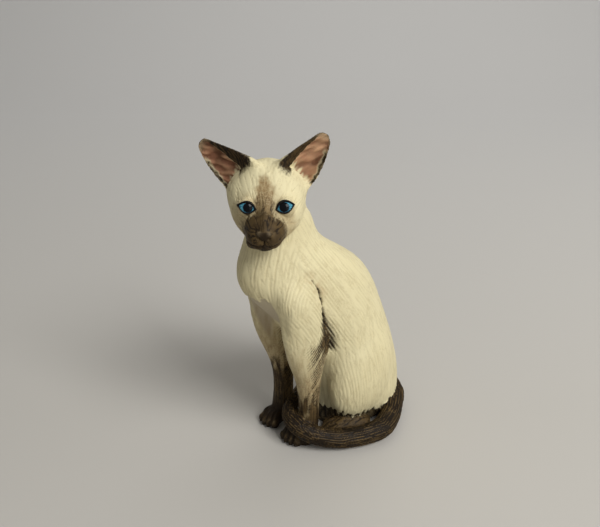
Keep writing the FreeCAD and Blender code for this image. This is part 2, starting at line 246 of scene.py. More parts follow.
def skin_arrays():
    """The blank's points and triangles, without the hollow inside it."""
    mesh = even_mesh(joined_castings(), GRAIN)
    shape = bmesh.new()
    shape.from_mesh(mesh)
    shape.verts.ensure_lookup_table()
    refine_face(shape)
    bmesh.ops.triangulate(shape, faces=shape.faces)
    shape.verts.index_update()
    points = np.array([vertex.co for vertex in shape.verts])
    triangles = np.array([[vertex.index for vertex in face.verts] for face in shape.faces])
    shape.free()
    return largest_shell(points, triangles)


def shell_numbers(count, triangles):
    """For each point the lowest number of a point that it is joined to."""
    number = np.arange(count)
    edges = np.concatenate([triangles[:, [0, 1]], triangles[:, [1, 2]]])
    while True:
        low = np.minimum(number[edges[:, 0]], number[edges[:, 1]])
        lower = number.copy()
        np.minimum.at(lower, edges[:, 0], low)
        np.minimum.at(lower, edges[:, 1], low)
        lower = lower[lower]
        if np.array_equal(lower, number):
            return number
        number = lower


def largest_shell(points, triangles):
    number = shell_numbers(len(points), triangles)
    names, counts = np.unique(number, return_counts=True)
    kept = number == names[counts.argmax()]
    new_index = np.cumsum(kept) - 1
    return points[kept], new_index[triangles[kept[triangles[:, 0]]]]


# ---------------- the skin that is carved


class Skin:
    """The points, triangles and masks of the whole figure while it is carved."""

    def __init__(self, points, triangles):
        self.points = points
        self.triangles = triangles
        corners = triangles[:, [0, 1, 1, 2, 2, 0]].reshape(-1, 2)
        self.edges = np.unique(np.sort(corners, axis=1), axis=0)
        self.ties = np.bincount(self.edges.ravel(), minlength=len(points)).astype(float)
        self.masks = {}
        self.owner = nearest_casting(points)

    def count(self):
        return len(self.points)

    def blank(self):
        return np.zeros(self.count())

    def mean_of_neighbours(self, values):
        """For each point the mean of its neighbours' values, which may be numbers or vectors."""
        columns = values.reshape(len(values), -1)
        first, second = self.edges[:, 0], self.edges[:, 1]
        total = np.empty_like(columns, dtype=float)
        for column in range(columns.shape[1]):
            total[:, column] = np.bincount(first, columns[second, column], self.count())
            total[:, column] += np.bincount(second, columns[first, column], self.count())
        return (total / self.ties[:, None]).reshape(values.shape)

    def blurred(self, values, rounds):
        for _ in range(rounds):
            values = self.mean_of_neighbours(values)
        return values

    def relax(self, weights, rounds):
        """Sponges the clay: each round moves every point part of the way to the mean of its neighbours."""
        share = weights[:, None] * 0.6
        for _ in range(rounds):
            self.points += (self.mean_of_neighbours(self.points) - self.points) * share

    def normals(self):
        corners = self.points[self.triangles]
        across = np.cross(corners[:, 1] - corners[:, 0], corners[:, 2] - corners[:, 0])
        total = np.zeros_like(self.points)
        for axis in range(3):
            for corner in range(3):
                total[:, axis] += np.bincount(self.triangles[:, corner], across[:, axis], self.count())
        return unit(total)

    def push(self, amounts, directions=None):
        """Moves each point by its amount, outward or along the directions given."""
        if directions is None:
            directions = self.normals()
        self.points += directions * amounts[:, None]

    def on(self, *names):
        """1 on the named castings and 0 elsewhere."""
        return np.isin(self.owner, [SKINS.index(name) for name in names]).astype(float)

    def distance_to_seam(self, *names):
        """How far each point is from the edge between the named castings and the rest, up to 12 mm."""
        inside = self.on(*names)
        edge = np.unique(self.edges[inside[self.edges[:, 0]] != inside[self.edges[:, 1]]])
        return distance_to(self.points, self.points[edge], 12.0)


def distance_to(points, targets, limit):
    tree = KDTree(len(targets))
    for index, target in enumerate(targets):
        tree.insert(target, index)
    tree.balance()
    low, high = targets.min(axis=0) - limit, targets.max(axis=0) + limit
    near = np.flatnonzero(((points > low) & (points < high)).all(axis=1))
    distances = np.full(len(points), limit)
    for index in near:
        distances[index] = tree.find(points[index])[2]
    return np.minimum(distances, limit)


def nearest_casting(points):
    """For each point the number of the casting whose surface is nearest; the eyes count as the head."""
    corners, faces, owners = [], [], []
    for name in SKINS + EYES:
        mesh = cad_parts[name].data
        base = len(corners)
        corners += [vertex.co * MM for vertex in mesh.vertices]
        faces += [[base + index for index in face.vertices] for face in mesh.polygons]
        owner = SKINS.index("head_casting") if name in EYES else SKINS.index(name)
        owners += [owner] * len(mesh.polygons)
    tree = BVHTree.FromPolygons(corners, faces)
    return np.array([owners[tree.find_nearest(point)[2]] for point in points])


def part_cleanly(skin):
    """Rounds off the ragged edges between castings, so that each is one patch with smooth edges."""
    shares = np.stack([skin.on(name) for name in SKINS], axis=1)
    skin.owner = skin.blurred(shares, 8).argmax(axis=1)


# ---------------- carving


def sponge_joins(skin):
    """Smooths the mesh all over, and more where limbs, neck and ears were joined to the body."""
    skin.relax(np.ones(skin.count()), 6)
    _, ahead, rise = in_head(skin.points)
    _, back, level = skin.points.T
    neck = bell(skin.distance_to_seam("head_casting", *EARS), 4.0) * step(2.0, -6.0, ahead)
    ears = bell(skin.distance_to_seam(*EARS), 2.3) * step(0.0, 2.0, rise)
    legs = bell(skin.distance_to_seam(*FORELEGS), 5.0)
    front = step(-10.0, -16.0, back) * step(26.0, 34.0, level)
    shoulder = step(58.0, 66.0, level)
    haunch = skin.on("torso_casting") * step(20.0, 28.0, level) * step(50.0, 42.0, level)
    haunch *= step(-8.0, -2.0, back)
    weights = within(neck + ears * 0.6 + legs * np.maximum(front, shoulder) + haunch)
    skin.relax(skin.blurred(weights, 6), 90)


def stretches(points, line):
    """For each stretch of a line: where it leads, and how far each point is from its nearest place."""
    for start, end in zip(line[:-1], line[1:]):
        start, span = np.array(start), np.subtract(end, start)
        share = within((points - start) @ span / (span @ span))
        yield span, points - start - share[:, None] * span


def distance_to_line(points, line):
    return np.minimum.reduce([size_of(offset) for _, offset in stretches(points, line)])


def on_both_sides(line):
    return line, [(-out, back, level) for out, back, level in line]


def distance_to_either(points, line):
    """The distance to a line or its mirror image, whichever is nearer."""
    return np.minimum(*[distance_to_line(points, each) for each in on_both_sides(line)])


# The face's lumps and dents, the same on both sides: aside, ahead, rise, reach and height.
FACE_LUMPS = (
    (5.4, 7.2, 5.6, 2.4, 0.35),
    (2.7, 11.2, 0.2, 1.3, -0.55),
    (5.6, 9.0, -3.2, 2.4, -0.35),
    (2.6, 15.4, -6.0, 1.8, 0.55),
    (0.0, 14.6, -9.2, 1.8, 0.35),
    (8.6, 3.6, -5.4, 3.0, 0.3),
    (1.25, 17.3, -3.4, 0.75, 0.3),
    (1.45, 17.4, -4.7, 0.5, -0.6),
    (4.4, -1.5, 11.4, 3.2, 0.9),
)

# Those that only one side has.
ONE_SIDED_LUMPS = (
    (-11.5, -1.0, 3.5, 4.0, 0.9),
    (11.5, 0.0, 2.0, 5.0, -0.4),
    (-4.6, 13.2, -8.6, 2.0, 1.2),
    (3.4, 13.6, -8.8, 1.6, 0.25),
)


def shape_face(skin):
    """The bridge of the nose, brows, whisker pads, nose leather, nostrils and mouth."""
    aside, ahead, rise = in_head(skin.points)
    place = np.stack([np.abs(aside), ahead, rise], axis=1)
    height = skin.blank()
    for *centre, reach, amount in FACE_LUMPS:
        height += amount * ball(place, centre, reach)
    full = np.stack([aside, ahead, rise], axis=1)
    for *centre, reach, amount in ONE_SIDED_LUMPS:
        height += amount * ball(full, centre, reach)
    bridge = distance_to_line(place, [(0.0, 8.6, 5.0), (0.0, 13.2, 0.6), (0.0, 17.2, -3.0)])
    height += 0.5 * bell(bridge, 1.7)
    half_width = np.interp(rise, [-5.4, -4.9, -3.4, -2.9], [0.5, 1.1, 2.4, 1.9])
    leather = step(0.2, -0.2, place[:, 0] - half_width) * step(-5.5, -5.2, rise) * step(-2.7, -3.1, rise)
    leather *= step(14.5, 15.5, ahead) * skin.on("head_casting")
    height += 0.22 * leather
    mouth_rise = np.interp(place[:, 0], [0.0, 0.6, 1.6, 5.0], [-6.6, -7.4, -7.7, -6.9])
    mouth = bell(rise - mouth_rise, 0.28) * step(8.5, 12.0, ahead) * step(6.0, 4.4, place[:, 0])
    philtrum = bell(aside, 0.22) * step(-7.0, -6.4, rise) * step(-4.9, -5.3, rise) * step(13.0, 14.0, ahead)
    crease = np.maximum(mouth, philtrum)
    height -= 0.45 * crease
    skin.push(height)
    skin.masks.update(leather=leather, crease=crease)


# Where each eyelid's opening looks, as a turn to the head's left and a rise, and the opening's size.
LID_GAZE = {"left_eye": (8.0, 27.0), "right_eye": (2.0, 23.0)}
LID_UPPER = {"left_eye": 1.5, "right_eye": 1.35}
LID_LOWER = 1.45
LID_SLANT = 15.0
LID_HALF_WIDTH = 2.5


def open_eyes(skin):
    """Draws lids over each eye, with an almond opening through which the ball shows."""
    liner = skin.blank()
    for name in EYES:
        side = 1.0 if name == "left_eye" else -1.0
        gaze = head_direction(*LID_GAZE[name])
        level = unit(np.cross(UP, gaze)) * side
        up = np.cross(gaze, level) * side
        slant = math.radians(LID_SLANT)
        outward = level * math.cos(slant) + up * math.sin(slant)
        upward = up * math.cos(slant) - level * math.sin(slant)
        from_centre = skin.points - EYE_CENTRES[name]
        radius = size_of(from_centre)
        near = (radius < EYE_RADIUS * 2.0) & (from_centre @ gaze > 0.0)
        across, height = from_centre @ outward, from_centre @ upward
        half_height = np.where(height > 0.0, LID_UPPER[name], LID_LOWER)
        outside = np.abs(height) / half_height + (across / LID_HALF_WIDTH) ** 2 - 1.0
        distance = outside * 1.4
        lid = EYE_RADIUS + 0.12 + 0.3 * bell(distance, 0.9)
        covered = (radius + lid + np.sqrt((radius - lid) ** 2 + 0.05)) / 2.0
        opened = np.minimum(radius, EYE_RADIUS - 0.5)
        wanted = covered + (opened - covered) * step(0.06, -0.1, distance)
        wanted = np.where(near, wanted, radius)
        skin.points += from_centre * (wanted / np.maximum(radius, 1e-6) - 1.0)[:, None]
        corner = 0.35 * bell(across - LID_HALF_WIDTH, 0.9) * bell(height, 0.5)
        heavy = np.where(height > 0.0, 0.62, 0.34) - 0.16 * np.clip(across / LID_HALF_WIDTH, -1.0, 1.0)
        drawn = step(heavy + corner + 0.12, heavy + corner - 0.12, distance)
        liner = np.maximum(liner, np.where(near, drawn, 0.0))
    skin.masks["liner"] = liner


# Each ear's side, lean and spread in the head's frame, its edge's curl and how much darker its flesh is;
# then the foot of both, and the half width and middle of their blades at each level.
EARS = {"left_ear": (1.0, 34.0, 14.0), "right_ear": (-1.0, 50.0, 19.0)}
CURL = {"left_ear": 1.0, "right_ear": 1.35}
FLESH_SHADE = {"left_ear": -0.1, "right_ear": 0.3}
EAR_FOOT = (9.4, -1.6, 8.2)
EAR_LEVELS = [-4.0, 1.0, 5.5, 9.1, 12.2, 14.5, 15.8]
EAR_HALF_WIDTHS = [6.4, 6.9, 5.8, 4.7, 3.5, 2.5, 1.3]
EAR_MIDDLES = [-0.5, -0.4, 0.0, 0.4, 0.6, 0.5, 0.4]


def ear_axes(name):
    """The ear's foot and its outward, backward and lengthwise directions."""
    side, lean, spread = EARS[name]
    leaning = Matrix.Rotation(math.radians(side * lean), 3, "Y")
    turned = Matrix.Rotation(math.radians(side * spread), 3, "Z") @ leaning
    axes = np.column_stack([LEFTWARD, -AHEAD, UP]) @ np.array(turned)
    foot = HEAD + LEFTWARD * side * EAR_FOOT[0] + AHEAD * EAR_FOOT[1] + UP * EAR_FOOT[2]
    return foot, axes[:, 0] * side, axes[:, 1], axes[:, 2]


def shape_ears(skin):
    """Hollows each ear out beside a curled inner edge, and gives it folds and a thin rim."""
    normals = skin.normals()
    height, inner, back, pale, flesh_shade = [skin.blank() for _ in range(5)]
    for number, name in enumerate(EARS):
        foot, outward, backward, along = ear_axes(name)
        offset = skin.points - foot
        out, length = offset @ outward, offset @ along
        half_width = np.interp(length, EAR_LEVELS, EAR_HALF_WIDTHS)
        middle = np.interp(length, EAR_LEVELS, EAR_MIDDLES)
        from_inner_edge = half_width + (out - middle)
        from_outer_edge = half_width - (out - middle)
        mine = skin.on(name, "head_casting") * step(-3.0, -0.5, length)
        mine *= step(5.5, 4.0, np.abs(offset @ backward))
        mine *= step(-0.6, 0.3, from_inner_edge) * step(-0.6, 0.3, from_outer_edge)
        facing = step(0.0, 0.3, -(normals @ backward))
        curl = np.interp(length, [0.0, 6.0, 9.0, 13.0, 15.5], [4.2, 3.0, 2.1, 1.1, 0.4]) * CURL[name]
        ragged = layered_noise(skin.points, 1.1, 30 + number)
        inside = skin.on(name) * step(-1.0, 0.5, length) * facing
        inside *= step(-0.2, 0.25, from_inner_edge - curl - 0.35 * ragged)
        hollow = inside * step(0.2, 0.9, from_outer_edge)
        inside *= step(0.25, 0.5, from_outer_edge + 0.15 * ragged)
        folds = np.clip(streaks(skin.points, along + outward * 0.55, 1.0, 2.6, 33 + number), -1.5, 1.5)
        height += hollow * (-0.5 + 0.24 * folds)
        # The flesh is painted darker where the folds dip, a painted shade, in a mottled band by the outer
        # edge and in a spot about halfway up.
        shade = 0.5 - 0.3 * folds + FLESH_SHADE[name]
        shade += 0.35 * step(2.6, 0.8, from_outer_edge) * (ragged > 0.0)
        shade += 0.4 * bell(length - 7.0, 2.5) * bell(from_outer_edge - 2.6, 1.1)
        flesh_shade = np.maximum(flesh_shade, inside * within(shade))
        hairs = streaks(skin.points, along, 0.6, 2.6, 36 + number)
        tuft = step(2.8, 1.0, length + 0.7 * hairs + 0.5 * (out - middle))
        inner = np.maximum(inner, inside * (1.0 - tuft))
        rim = inside * step(1.9, 0.9, from_outer_edge + 0.6 * ragged) * step(12.0, 9.5, length)
        inner = inner * (1.0 - rim)
        dark = mine * step(-3.2, 1.6, length + 0.3 * ragged + 0.2 * hairs) * (1.0 - inside)
        dark *= 1.0 - facing * step(4.0, 2.2, length) * step(0.3, 1.2, from_inner_edge - curl)
        back = np.maximum(back, np.maximum(dark, 0.8 * rim))
        pale = np.maximum(pale, skin.on(name) * facing * step(12.6, 15.0, length + 0.9 * ragged))
    skin.push(height, normals)
    skin.masks.update(inner=inner, ear_back=back, pale=pale, flesh_shade=flesh_shade)


# The deep line behind each upper arm, and the wider hollow below it; both are painted dark, as painted shade.
CREVICE = [
    (13.0, -15.2, 70.5), (13.6, -13.0, 66.8), (14.4, -11.9, 62.6), (15.0, -11.6, 58.4), (15.0, -10.9, 54.1),
    (14.8, -9.6, 49.0), (13.8, -7.6, 43.5), (12.2, -6.0, 37.5),
]

# How wide the hollow is at each level.
PIT_LEVELS = [38.0, 44.0, 50.0, 56.0, 61.0]
PIT_REACHES = [2.2, 3.6, 3.2, 1.5, 0.4]

# The middle and half depth of each foreleg at each level.
LEG_LEVELS = [16.0, 26.0, 36.0, 46.0]
LEG_MIDDLES = [-12.9, -13.2, -14.0, -14.8]
LEG_HALF_DEPTHS = [4.0, 4.7, 7.2, 9.6]

# The levels of the haunch's lower edge, from front to back.
HEM_BACKS = [-6.0, 4.0, 16.0, 26.0]
HEM_LEVELS = [9.5, 8.0, 6.6, 9.0]

# The shallow valley between the chest and each upper arm.
ARM_FRONT = [
    (12.6, -17.5, 72.0), (13.6, -20.5, 69.0), (13.4, -23.6, 65.5), (11.6, -25.8, 60.0), (11.2, -25.2, 53.0),
]


def shape_body(skin):
    """Cuts the crevice behind each arm, hollows the smooth patch under the chest and overhangs the haunch."""
    points = skin.points
    out, back, level = points.T
    body = skin.on("torso_casting", *FORELEGS)
    cut = distance_to_either(points, CREVICE)
    cut += 0.25 * layered_noise(points, 2.0, 41)
    crevice = body * bell(cut, 0.45) * step(67.5, 63.0, level)
    side = body * step(11.0, 12.5, np.abs(out))
    hatch_down = ruled(points, 0.88 * back + 0.47 * level, 0.95, 44)
    hatch_up = ruled(points, 0.8 * back - 0.6 * level, 1.0, 46)
    pit = side * bell(cut, np.interp(level, PIT_LEVELS, PIT_REACHES)) * step(35.0, 42.0, level)
    across_leg = back - np.interp(level, LEG_LEVELS, LEG_MIDDLES)
    across_leg /= np.interp(level, LEG_LEVELS, LEG_HALF_DEPTHS)
    leg_back = skin.on(*FORELEGS) * step(-0.8, 0.1, across_leg)
    leg_back *= step(50.0, 44.0, level) * step(14.0, 18.0, level)
    hatch = np.maximum(pit * hatch_down, leg_back * hatch_up)
    height = -0.75 * crevice - 0.4 * pit - 0.32 * hatch
    height -= 0.55 * body * bell(distance_to_either(points, ARM_FRONT), 1.5)
    edge = 65.2 + 0.8 * streaks(points, UP, 0.9, 4.0, 42)
    left_edge = 7.2 + (66.0 - level) * 0.08
    right_edge = -12.6 + (66.0 - level) * 0.3
    patch = body * step(0.6, -0.6, level - edge) * step(35.0, 44.0, level) * step(-19.0, -21.0, back)
    patch *= step(0.8, -0.8, out - left_edge) * step(-0.8, 0.8, out - right_edge)
    height -= 0.45 * patch
    hem = np.interp(back, HEM_BACKS, HEM_LEVELS) + 1.1 * streaks(points, UP, 1.0, 4.0, 43)
    under = skin.on("torso_casting") * step(0.5, -0.7, level - hem)
    height -= 0.5 * under * step(1.5, 3.0, level)
    skin.push(height)
    # Where painted shade goes: the crevice, the hollow behind each arm and the strip under the haunch's hem.
    skin.masks["crevice"] = body * bell(cut, 0.42) * step(67.5, 62.0, level)
    skin.masks["hatch"] = within(pit * (0.7 + 0.6 * hatch_down) + leg_back * (0.4 + 0.8 * hatch_up))
    skin.masks["patch"] = patch
    skin.masks["under"] = under


# Each paw's place out and back, the way it points and how far ahead its toes stand.
PAWS = {
    "left_foreleg": (5.0, -15.5, 16.0, 5.3),
    "right_foreleg": (-8.2, -16.6, 15.0, 5.3),
    "left_hind_foot": (13.6, 2.2, -26.0, 8.6),
    "right_hind_foot": (-13.6, 2.2, 26.0, 8.6),
}
TOE_PITCH = 2.15


def shape_paws(skin):
    """Parts the toes of each paw, rounds their knuckles and gives them small claws."""
    height, knuckles, gaps = [skin.blank() for _ in range(3)]
    level = skin.points[:, 2]
    for name, (out, back, heading, toes_ahead) in PAWS.items():
        heading = math.radians(heading)
        offset = skin.points[:, :2] - np.array([out, back])
        ahead = offset @ np.array([math.sin(heading), -math.cos(heading)])
        across = offset @ np.array([math.cos(heading), math.sin(heading)])
        paw = skin.on(name) * step(8.0, 6.5, level) * step(toes_ahead - 4.2, toes_ahead - 2.4, ahead)
        row = across / TOE_PITCH
        gap = np.abs(row - np.round(row)) * TOE_PITCH
        gap = bell(gap, 0.36) * (np.abs(row) < 1.5) * paw
        toe = np.clip(np.round(row - 0.5), -2.0, 1.0) + 0.5
        toe_ahead = toes_ahead - (np.abs(toe) - 0.5) * 0.9
        from_toe = np.stack([across - toe * TOE_PITCH, ahead - toe_ahead - 0.4, level - 3.0], axis=1)
        knuckle = bell(size_of(from_toe), 1.1) * paw
        claw = np.stack([(across - toe * TOE_PITCH) * 1.6, ahead - toe_ahead - 1.7, level - 1.1], axis=1)
        height += 0.35 * knuckle - 0.6 * gap + 0.5 * bell(size_of(claw), 0.5) * paw
        knuckles = np.maximum(knuckles, knuckle)
        gaps = np.maximum(gaps, gap)
    skin.push(height)
    skin.masks.update(knuckle=knuckles, gap=gaps)


# Where the face's hair spreads from, and the tail's middle line from the rump to its tip.
NOSE = HEAD + AHEAD * 17.0 - UP * 5.0
TAIL_LINE = [
    (0.0, 28.6, 6.2), (7.7, 29.8, 4.8), (14.6, 24.8, 4.2), (20.2, 17.8, 4.0), (23.7, 10.0, 3.9),
    (22.2, 1.2, 3.9), (19.0, -6.8, 4.3), (14.6, -13.8, 6.0), (10.2, -18.0, 8.6), (5.4, -18.9, 10.4),
    (1.5, -16.5, 11.8), (-0.6, -13.0, 12.8), (-1.2, -10.0, 13.4), (-1.2, -8.6, 13.6),
]
TAIL_ROWS = 26.0      # grooves round the tail

# How deep the grooves are cut, and how high the tufts between them stand.
GROOVE_DEPTHS = {"face": 0.16, "body": 0.27, "tail": 0.5}
CLUMP_HEIGHTS = {"face": 0.03, "body": 0.04, "tail": 0.06}
FACE_GROOVE_DARKENING = 0.5       # how strongly the face's grooves are painted darker, by wash and painted shade, against 1 elsewhere


def flow(skin, normals):
    """The way that the hair lies at each point."""
    points = skin.points
    out, back, level = points.T
    front = step(-17.0, -25.0, back)[:, None]
    high = step(46.0, 56.0, level)[:, None]
    down_front = np.stack([out * 0.035, skin.blank(), -np.ones(skin.count())], axis=1)
    flank = np.array([0.0, 0.54, -0.84])
    haunch = np.array([0.0, 0.14, -1.0])
    way = down_front * front + (flank * high + haunch * (1.0 - high)) * (1.0 - front)
    along_tail = np.zeros_like(points)
    for start, end in zip(TAIL_LINE[:-1], TAIL_LINE[1:]):
        share = ball(points, np.add(start, end) / 2, 6.0)
        along_tail += share[:, None] * unit(np.subtract(end, start))
    for heading, share in (
        ((0.0, 0.35, -0.95), step(80.0, 88.0, level) * step(-28.0, -20.0, back)),
        (-UP, skin.on(*FORELEGS) * step(48.0, 40.0, level)),
        (unit(points - NOSE), skin.on("head_casting")),
        *[(ear_axes(name)[3], skin.on(name)) for name in EARS],
        (unit(along_tail), skin.on("tail")),
        ((0.0, -1.0, 0.0), skin.on(*HIND_FEET)),
    ):
        way += (heading - way) * share[:, None]
    way = skin.blurred(way, 10)
    return unit(way - normals * (way * normals).sum(axis=1)[:, None])


def ruled_body(skin):
    """Parallel strokes: upright on the chest and haunches, slanting back and down over the flanks."""
    points = skin.points
    out, back, level = points.T
    around = np.arctan2(out, 10.0 - back) * 42.0
    chest = step(-16.0, -22.0, back) * step(58.0, 62.0, level)
    haunch = step(44.0, 34.0, level) * step(-9.0, -5.0, back)
    leg = skin.on(*FORELEGS) * step(50.0, 44.0, level)
    flank = (1.0 - chest) * (1.0 - haunch) * (1.0 - leg)
    left_line, right_line = on_both_sides(CREVICE)
    strong = 0.3 + 0.6 * bell(distance_to_line(points, left_line), 9.0)
    strong = np.maximum(strong, 0.3 + 0.5 * bell(distance_to_line(points, right_line), 9.0))
    lines = chest * 0.8 * ruled(points, around, 1.0, 63)
    lines += haunch * 0.55 * ruled(points, back * 0.98 + level * 0.12, 1.05, 64) * step(48.0, 20.0, level)
    lines += flank * strong * ruled(points, back * 0.84 + level * 0.54, 1.1, 65)
    lines += leg * 0.35 * ruled(points, around, 1.1, 66)
    return within(lines) * (1.0 - skin.on(*HIND_FEET))


def ruled_tail(points):
    """Long grooves that run round the coil of the tail side by side."""
    nearest = np.full(len(points), np.inf)
    angle = np.zeros(len(points))
    for span, offset in stretches(points, TAIL_LINE):
        sideways = unit(np.cross(UP, span))
        upward = np.cross(unit(span), sideways)
        closer = size_of(offset) < nearest
        nearest = np.where(closer, size_of(offset), nearest)
        angle = np.where(closer, np.arctan2(offset @ sideways, offset @ upward), angle)
    rows = angle * TAIL_ROWS / math.tau + 0.7 * layered_noise(points, 12.0, 67)
    line = within(1.0 - np.abs(rows - np.round(rows)) / 0.32)
    line *= step(-0.9, 0.3, layered_noise(points, 4.0, 69))
    thin = np.abs(rows * 1.7 - np.round(rows * 1.7))
    return np.maximum(line, 0.6 * within(1.0 - thin / 0.3))


def comb_fur(skin):
    """Cuts hair into the skin along its flow: fine on the face, broad on the body and long on the tail."""
    normals = skin.normals()
    way = flow(skin, normals)
    warp = np.stack([layered_noise(skin.points, 3.0, seed) for seed in (51, 52, 53)], axis=1)
    way = unit(way + 0.09 * (warp - normals * (warp * normals).sum(axis=1)[:, None]))
    face = skin.on("head_casting")
    tail = skin.on("tail")
    body = 1.0 - face - tail
    fine = cuts(skin.points, way, 0.75, 3.4, 54)
    coarse = cuts(skin.points, way, 0.9, 6.0, 55)
    groove = face * fine + body * np.maximum(0.55 * coarse, ruled_body(skin))
    groove += tail * np.maximum(0.8 * coarse, ruled_tail(skin.points))
    clumps = streaks(skin.points, way, 1.9, 6.0, 57)
    bare = skin.masks["leather"] + skin.masks["patch"] * 0.85 + skin.masks["inner"] + skin.masks["liner"]
    bare += step(0.6, 0.2, skin.points[:, 2])
    furry = within(1.0 - bare)
    areas = {"face": face, "body": body, "tail": tail}
    depth = sum(area * GROOVE_DEPTHS[name] for name, area in areas.items())
    stand = sum(area * CLUMP_HEIGHTS[name] for name, area in areas.items())
    height = furry * (clumps * stand - groove * depth)
    skin.push(height, normals)
    skin.masks["groove"] = groove * furry * np.where(face > 0.0, FACE_GROOVE_DARKENING, 1.0)


def keep_inside(skin):
    """Keeps the carved skin inside the castings' box and flat where it stands, and sinks the vent."""
    low, high = np.array(CAD_BOX[0]) * MM, np.array(CAD_BOX[1]) * MM
    skin.points = np.clip(skin.points, low, high)
    out, back, level = skin.points.T
    from_vent = np.hypot(out, back - VENT_BACK)
    sunk = step(VENT_RADIUS + 0.1, VENT_RADIUS - 0.3, from_vent) * (level < 1.0)
    skin.points[:, 2] += VENT_DEPTH * sunk


# Where the brown ends on each foreleg: the level and the softness of the edge.
FORELEG_EDGES = {"left_foreleg": (21.0, 11.0), "right_foreleg": (31.0, 11.0)}

# Yellowish places in the mask, under the eyes: aside, ahead and rise.
PALE_SPOTS = ((-5.5, 10.8, -0.6), (3.0, 12.0, 0.4), (7.2, 9.8, -2.6))


# How brown the bridge of the nose is at each rise, and the half width of the forehead's patch.
BRIDGE_RISES = [-5.0, -1.0, 2.0, 5.0, 8.5]
BRIDGE_BROWN = [1.0, 0.9, 0.68, 0.38, 0.0]
PATCH_RISES = [-2.0, 1.0, 4.0, 7.0, 9.4, 10.6]
PATCH_HALF_WIDTHS = [4.2, 3.2, 3.5, 2.9, 1.3, 0.0]
NOSTRIL_HIGHLIGHTS = (1.35, 17.4, -3.2)      # where the painted highlight over each nostril sits: aside, ahead and rise


def paint_points(skin):
    """Marks where brown, ochre, stains, worn paint, painted highlights and painted shade go."""
    points = skin.points
    level = points[:, 2]
    place = in_head(points)
    aside, ahead, rise = place
    ragged = streaks(points, UP, 0.8, 3.0, 61)
    head = skin.on("head_casting", *EARS)
    front = head * step(-2.0, 2.0, ahead)
    half_height = np.where(rise > -7.0, 8.6, 6.8)
    from_nose = np.sqrt((aside / 7.5) ** 2 + ((ahead - 17.0) / 9.5) ** 2 + ((rise + 7.0) / half_height) ** 2)
    from_nose += 0.014 * aside + 0.05 * ragged
    face = head * step(1.6, 0.82, from_nose)
    for spot in PALE_SPOTS:
        face *= 1.0 - 0.75 * ball(np.stack(place, axis=1), spot, 0.9 + 0.25 * ragged)
    off_middle = np.abs(aside + 0.4) - np.interp(rise, PATCH_RISES, PATCH_HALF_WIDTHS)
    forehead = front * step(1.3, -1.7, off_middle + 0.35 * ragged) * step(-4.0, -1.0, rise)
    forehead *= step(11.2, 8.6, rise)
    ochre = np.maximum(forehead, front * 0.65 * step(2.2, 1.4, from_nose))
    bridge = front * bell(aside + 0.3, 4.2) * np.interp(rise, BRIDGE_RISES, BRIDGE_BROWN)
    bridge += forehead * 0.2 * bell(off_middle + 0.9, 0.8) * step(6.0, 3.0, rise)
    point = np.maximum(np.maximum(face, bridge), skin.masks["ear_back"])
    dark_nose = np.maximum(skin.masks["leather"], skin.masks["crease"])
    dark_nose = np.maximum(dark_nose, bell(aside, 1.6) * step(-6.2, -7.2, rise) * step(11.0, 13.0, ahead))
    tone = np.maximum(0.5 * face, step(0.95, 0.45, face) * np.maximum(face, bridge) * 1.6) * (1.0 - dark_nose)
    tone += 0.35 * skin.masks["ear_back"]
    for name, (edge, softness) in FORELEG_EDGES.items():
        leg = skin.on(name)
        height = level - edge + 2.5 * ragged
        point = np.maximum(point, leg * step(softness, -softness, height))
        ochre = np.maximum(ochre, 0.8 * leg * step(3.0 * softness, 0.0, height))
        tone += leg * 0.55 * step(6.0, 14.0, level)
    feet = skin.on(*HIND_FEET)
    tail = skin.on("tail")
    point = np.maximum(point, np.maximum(feet, tail))
    # Each knuckle's brown is painted lighter, a painted highlight, and the gaps between toes darker, a
    # painted shade.
    tone += 0.6 * feet + 0.8 * tail + 0.8 * skin.masks["knuckle"] - 0.6 * skin.masks["gap"]
    # Painted shade: the crevice, the hollow behind each arm and the strip under the haunch are painted brown.
    hollow = np.maximum(skin.masks["crevice"], skin.masks["hatch"])
    point = np.maximum(point, np.maximum(hollow, skin.masks["under"] * 0.8))
    tone += 0.4 * (hollow + skin.masks["under"]) * (1.0 - within(tone))
    skin.masks["point"] = within(point)
    skin.masks["tone"] = within(tone)
    skin.masks["ochre"] = within(ochre)
    stain = skin.on("torso_casting", "left_foreleg") * bell(distance_to_line(points, CREVICE[:2]), 3.0)
    skin.masks["stain"] = 0.5 * stain * step(-0.3, 0.6, layered_noise(points, 2.2, 62))
    # Worn paint and painted highlights: the ear tips are worn pale; the edge over each nostril and the
    # knuckles get a painted highlight.
    nostril_highlights = ball(np.stack([np.abs(aside), ahead, rise], axis=1), NOSTRIL_HIGHLIGHTS, 0.55)
    toe_highlights = 0.35 * skin.masks["knuckle"] * step(0.0, 0.8, layered_noise(points, 0.9, 68))
    skin.masks["wear_and_highlight"] = within(skin.masks["pale"] * 0.6 + nostril_highlights * 1.1 * head + toe_highlights)


def carve(skin):
    sponge_joins(skin)
    part_cleanly(skin)
    shape_face(skin)
    open_eyes(skin)
    shape_ears(skin)
    shape_body(skin)
    shape_paws(skin)
    comb_fur(skin)
    paint_points(skin)
    keep_inside(skin)


# ---------------- back into pieces


def boundary_edges(triangles):
    """The directed edges of a patch that only one of its triangles has."""
    directed = triangles[:, [0, 1, 1, 2, 2, 0]].reshape(-1, 2)
    span = triangles.max() + 1
    keys = directed[:, 0] * span + directed[:, 1]
    reversed_keys = directed[:, 1] * span + directed[:, 0]
    return directed[~np.isin(keys, reversed_keys)]


